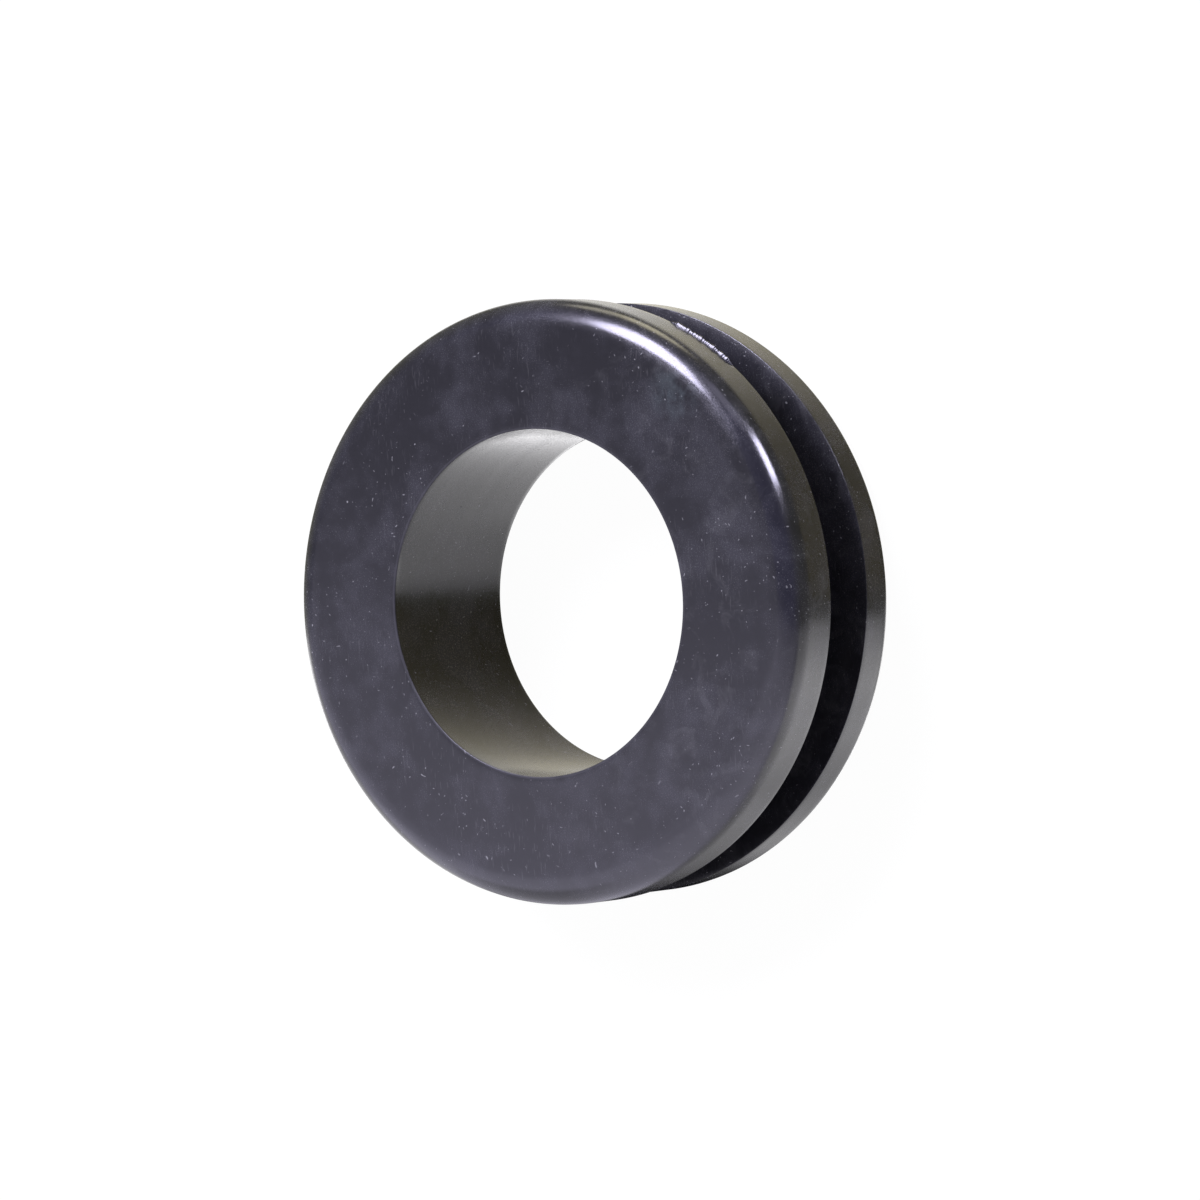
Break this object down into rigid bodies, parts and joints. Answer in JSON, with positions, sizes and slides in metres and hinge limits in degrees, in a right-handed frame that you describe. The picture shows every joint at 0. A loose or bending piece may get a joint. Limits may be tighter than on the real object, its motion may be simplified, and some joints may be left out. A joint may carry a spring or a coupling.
{
  "type": "rubber grommet",
  "caption": "Round black rubber grommet with a smooth through bore, a thick rounded front flange, a thinner rear flange and a square panel groove between them.",
  "frame": {"origin": "centre of the rear flange's flat face, which the grommet stands on", "axes": "+Z along the bore's axis, from the thin rear flange to the thick front flange with the bold round; X and Y are free, because the part is round"},
  "size_m": [0.0444, 0.0444, 0.0138],
  "materials": {
    "moulded_rubber": "compression moulded black rubber, satin, with fine dust and faint pale bloom"
  },
  "bodies": {
    "root": {"grommet": "moulded_rubber"}
  },
  "joints": []
}
